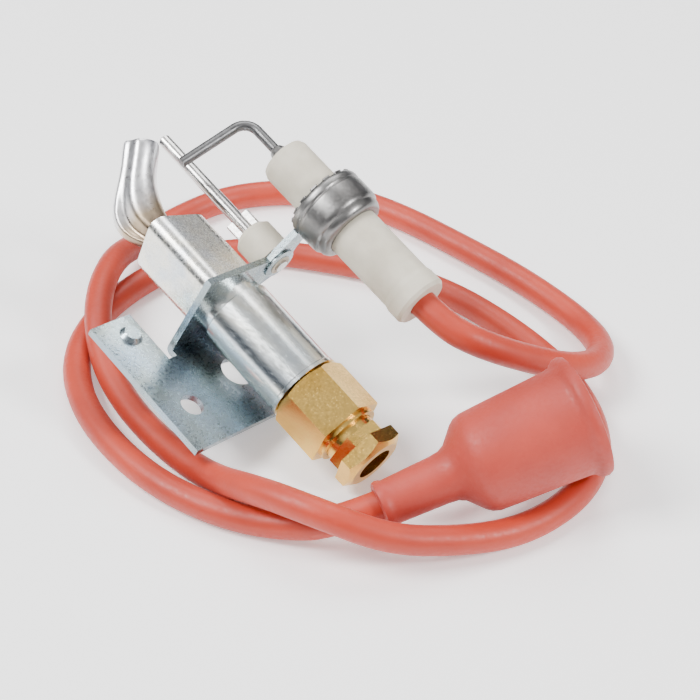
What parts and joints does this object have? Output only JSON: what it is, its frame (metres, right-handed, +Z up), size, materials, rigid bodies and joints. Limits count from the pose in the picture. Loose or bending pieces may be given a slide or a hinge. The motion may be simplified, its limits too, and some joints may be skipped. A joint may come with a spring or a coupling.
{
  "type": "gas pilot burner with spark igniter",
  "caption": "Gas pilot burner with a spark igniter, a flame rod, a mounting bracket, a brass gas inlet and a coiled silicone ignition lead with a rubber boot.",
  "frame": {"origin": "on the floor, at the centre of the box of the burner assembly without its lead and boot", "axes": "+Z up from the floor, +X along the burner's floor projection towards the gas nut, +Y to the spark igniter's side"},
  "size_m": [0.1142, 0.0895, 0.0411],
  "materials": {
    "zinc_steel": "bright zinc plate",
    "stainless_steel": "heat tinted stainless",
    "brass": "turned",
    "ceramic": "matt",
    "grey_steel": "satin",
    "plated_terminal": "tin plate",
    "silicone_lead": "matt",
    "boot_rubber": "matt"
  },
  "bodies": {
    "burner_frame": {"mounting_bracket": "zinc_steel", "burner_barrel": "zinc_steel", "burner_head": "zinc_steel", "sensor_push_nut": "zinc_steel", "flame_hood": "stainless_steel", "head_insert": "stainless_steel", "flame_rod": "stainless_steel", "retainer_washer": "stainless_steel", "inlet_fitting": "brass", "orifice_spud": "brass", "igniter_insulator": "ceramic", "sensor_insulator": "ceramic", "clamp_ring": "grey_steel", "spark_electrode": "grey_steel", "electrode_collar": "grey_steel", "electrode_terminal": "plated_terminal", "terminal_crimp": "plated_terminal", "terminal_socket": "plated_terminal", "ignition_lead": "silicone_lead", "rubber_boot": "boot_rubber"},
    "ferrule": {"compression_ferrule": "brass"},
    "nut": {"compression_nut": "brass"}
  },
  "joints": [
    {"name": "nut_travel", "type": "slide", "parent": "burner_frame", "child": "ferrule", "axis": [0.9304, 0, -0.3665], "range_m": [0, 0.0016]},
    {"name": "nut_turn", "type": "hinge", "parent": "ferrule", "child": "nut", "pos_m": [0.03135, -0.00226, 0.00615], "axis": [0.9304, 0, -0.3665], "range_deg": [0, 540]}
  ],
  "couplings": [
    {"joint": "nut_travel", "follows": "nut_turn", "m_per_rad": 0.00016844}
  ]
}
